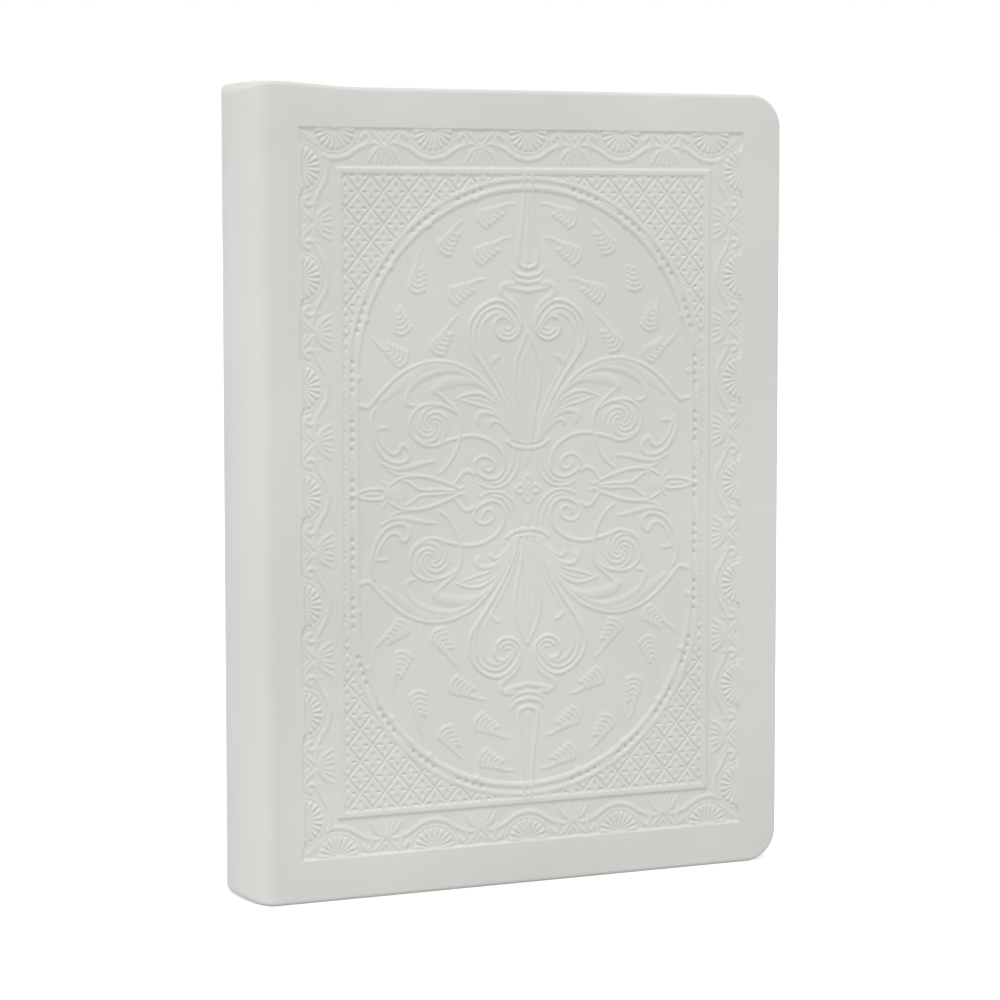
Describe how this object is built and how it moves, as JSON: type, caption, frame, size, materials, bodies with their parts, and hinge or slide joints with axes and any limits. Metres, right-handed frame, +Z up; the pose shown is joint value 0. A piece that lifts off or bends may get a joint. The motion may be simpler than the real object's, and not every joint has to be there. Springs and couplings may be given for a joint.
{
  "type": "prayer book",
  "caption": "White leather-bound prayer book with rounded spine and embossed covers, standing upright; both covers open and the first and last sections turn with them.",
  "frame": {"origin": "middle of the book's bounding box, on the surface it stands on", "axes": "+Z up along the spine from tail to head, front cover faces -Y, spine on the -X side, fore edge on the +X side"},
  "size_m": [0.1536, 0.03, 0.2112],
  "materials": {
    "white_leather": "satin",
    "grey_board": "matte",
    "endpaper": "matte",
    "text_paper": "matte",
    "white_cloth": "matte",
    "silk": "satin",
    "linen_thread": "matte"
  },
  "bodies": {
    "spine": {"spine_leather": "white_leather", "spine_inlay": "grey_board", "front_joint_leather": "white_leather", "back_joint_leather": "white_leather", "front_endpaper_fold": "endpaper", "back_endpaper_fold": "endpaper", "section_06": "text_paper", "section_07": "text_paper", "mull": "white_cloth", "spine_lining": "grey_board", "head_band": "silk", "tail_band": "silk", "sewing_thread_1": "linen_thread", "sewing_thread_2": "linen_thread", "sewing_thread_3": "linen_thread", "sewing_thread_4": "linen_thread", "sewing_thread_5": "linen_thread", "section_01_fold": "text_paper", "section_02_fold": "text_paper", "section_03_fold": "text_paper", "section_04_fold": "text_paper", "section_05_fold": "text_paper", "section_08_fold": "text_paper", "section_09_fold": "text_paper", "section_10_fold": "text_paper", "section_11_fold": "text_paper", "section_12_fold": "text_paper"},
    "front_cover": {"front_cover_leather": "white_leather", "front_board": "grey_board", "front_infill": "endpaper", "front_pastedown": "endpaper"},
    "front_flyleaf_turning": {"front_flyleaf": "endpaper"},
    "front_leaf_1_turning": {"front_leaf_1": "text_paper"},
    "front_leaf_2_turning": {"front_leaf_2": "text_paper"},
    "section_01_turning": {"section_01_leaves": "text_paper"},
    "section_02_turning": {"section_02_leaves": "text_paper"},
    "section_03_turning": {"section_03_leaves": "text_paper"},
    "section_04_turning": {"section_04_leaves": "text_paper"},
    "section_05_turning": {"section_05_leaves": "text_paper"},
    "back_cover": {"back_cover_leather": "white_leather", "back_board": "grey_board", "back_infill": "endpaper", "back_pastedown": "endpaper"},
    "back_flyleaf_turning": {"back_flyleaf": "endpaper"},
    "back_leaf_1_turning": {"back_leaf_1": "text_paper"},
    "back_leaf_2_turning": {"back_leaf_2": "text_paper"},
    "section_12_turning": {"section_12_leaves": "text_paper"},
    "section_11_turning": {"section_11_leaves": "text_paper"},
    "section_10_turning": {"section_10_leaves": "text_paper"},
    "section_09_turning": {"section_09_leaves": "text_paper"},
    "section_08_turning": {"section_08_leaves": "text_paper"}
  },
  "joints": [
    {"name": "front_cover_hinge", "type": "hinge", "parent": "spine", "child": "front_cover", "pos_m": [-0.06925, -0.0158, 0.105], "axis": [0, 0, -1], "range_deg": [0, 180]},
    {"name": "front_flyleaf_turn", "type": "hinge", "parent": "spine", "child": "front_flyleaf_turning", "pos_m": [-0.06125, -0.011, 0.105], "axis": [0, 0, -1], "range_deg": [0, 118.8]},
    {"name": "front_leaf_1_turn", "type": "hinge", "parent": "spine", "child": "front_leaf_1_turning", "pos_m": [-0.06125, -0.011, 0.105], "axis": [0, 0, -1], "range_deg": [0, 115.2]},
    {"name": "front_leaf_2_turn", "type": "hinge", "parent": "spine", "child": "front_leaf_2_turning", "pos_m": [-0.06125, -0.011, 0.105], "axis": [0, 0, -1], "range_deg": [0, 111.6]},
    {"name": "section_01_turn", "type": "hinge", "parent": "spine", "child": "section_01_turning", "pos_m": [-0.06125, -0.011, 0.105], "axis": [0, 0, -1], "range_deg": [0, 97.2]},
    {"name": "section_02_turn", "type": "hinge", "parent": "spine", "child": "section_02_turning", "pos_m": [-0.06125, -0.011, 0.105], "axis": [0, 0, -1], "range_deg": [0, 79.2]},
    {"name": "section_03_turn", "type": "hinge", "parent": "spine", "child": "section_03_turning", "pos_m": [-0.06125, -0.011, 0.105], "axis": [0, 0, -1], "range_deg": [0, 61.2]},
    {"name": "section_04_turn", "type": "hinge", "parent": "spine", "child": "section_04_turning", "pos_m": [-0.06125, -0.011, 0.105], "axis": [0, 0, -1], "range_deg": [0, 43.2]},
    {"name": "section_05_turn", "type": "hinge", "parent": "spine", "child": "section_05_turning", "pos_m": [-0.06125, -0.011, 0.105], "axis": [0, 0, -1], "range_deg": [0, 25.2]},
    {"name": "back_cover_hinge", "type": "hinge", "parent": "spine", "child": "back_cover", "pos_m": [-0.06925, 0.0158, 0.105], "axis": [0, 0, 1], "range_deg": [0, 180]},
    {"name": "back_flyleaf_turn", "type": "hinge", "parent": "spine", "child": "back_flyleaf_turning", "pos_m": [-0.06125, 0.011, 0.105], "axis": [0, 0, 1], "range_deg": [0, 118.8]},
    {"name": "back_leaf_1_turn", "type": "hinge", "parent": "spine", "child": "back_leaf_1_turning", "pos_m": [-0.06125, 0.011, 0.105], "axis": [0, 0, 1], "range_deg": [0, 115.2]},
    {"name": "back_leaf_2_turn", "type": "hinge", "parent": "spine", "child": "back_leaf_2_turning", "pos_m": [-0.06125, 0.011, 0.105], "axis": [0, 0, 1], "range_deg": [0, 111.6]},
    {"name": "section_12_turn", "type": "hinge", "parent": "spine", "child": "section_12_turning", "pos_m": [-0.06125, 0.011, 0.105], "axis": [0, 0, 1], "range_deg": [0, 97.2]},
    {"name": "section_11_turn", "type": "hinge", "parent": "spine", "child": "section_11_turning", "pos_m": [-0.06125, 0.011, 0.105], "axis": [0, 0, 1], "range_deg": [0, 79.2]},
    {"name": "section_10_turn", "type": "hinge", "parent": "spine", "child": "section_10_turning", "pos_m": [-0.06125, 0.011, 0.105], "axis": [0, 0, 1], "range_deg": [0, 61.2]},
    {"name": "section_09_turn", "type": "hinge", "parent": "spine", "child": "section_09_turning", "pos_m": [-0.06125, 0.011, 0.105], "axis": [0, 0, 1], "range_deg": [0, 43.2]},
    {"name": "section_08_turn", "type": "hinge", "parent": "spine", "child": "section_08_turning", "pos_m": [-0.06125, 0.011, 0.105], "axis": [0, 0, 1], "range_deg": [0, 25.2]}
  ],
  "couplings": [
    {"joint": "front_flyleaf_turn", "follows": "front_cover_hinge", "ratio": 0.66},
    {"joint": "front_leaf_1_turn", "follows": "front_cover_hinge", "ratio": 0.64},
    {"joint": "front_leaf_2_turn", "follows": "front_cover_hinge", "ratio": 0.62},
    {"joint": "section_01_turn", "follows": "front_cover_hinge", "ratio": 0.54},
    {"joint": "section_02_turn", "follows": "front_cover_hinge", "ratio": 0.44},
    {"joint": "section_03_turn", "follows": "front_cover_hinge", "ratio": 0.34},
    {"joint": "section_04_turn", "follows": "front_cover_hinge", "ratio": 0.24},
    {"joint": "section_05_turn", "follows": "front_cover_hinge", "ratio": 0.14},
    {"joint": "back_flyleaf_turn", "follows": "back_cover_hinge", "ratio": 0.66},
    {"joint": "back_leaf_1_turn", "follows": "back_cover_hinge", "ratio": 0.64},
    {"joint": "back_leaf_2_turn", "follows": "back_cover_hinge", "ratio": 0.62},
    {"joint": "section_12_turn", "follows": "back_cover_hinge", "ratio": 0.54},
    {"joint": "section_11_turn", "follows": "back_cover_hinge", "ratio": 0.44},
    {"joint": "section_10_turn", "follows": "back_cover_hinge", "ratio": 0.34},
    {"joint": "section_09_turn", "follows": "back_cover_hinge", "ratio": 0.24},
    {"joint": "section_08_turn", "follows": "back_cover_hinge", "ratio": 0.14}
  ]
}
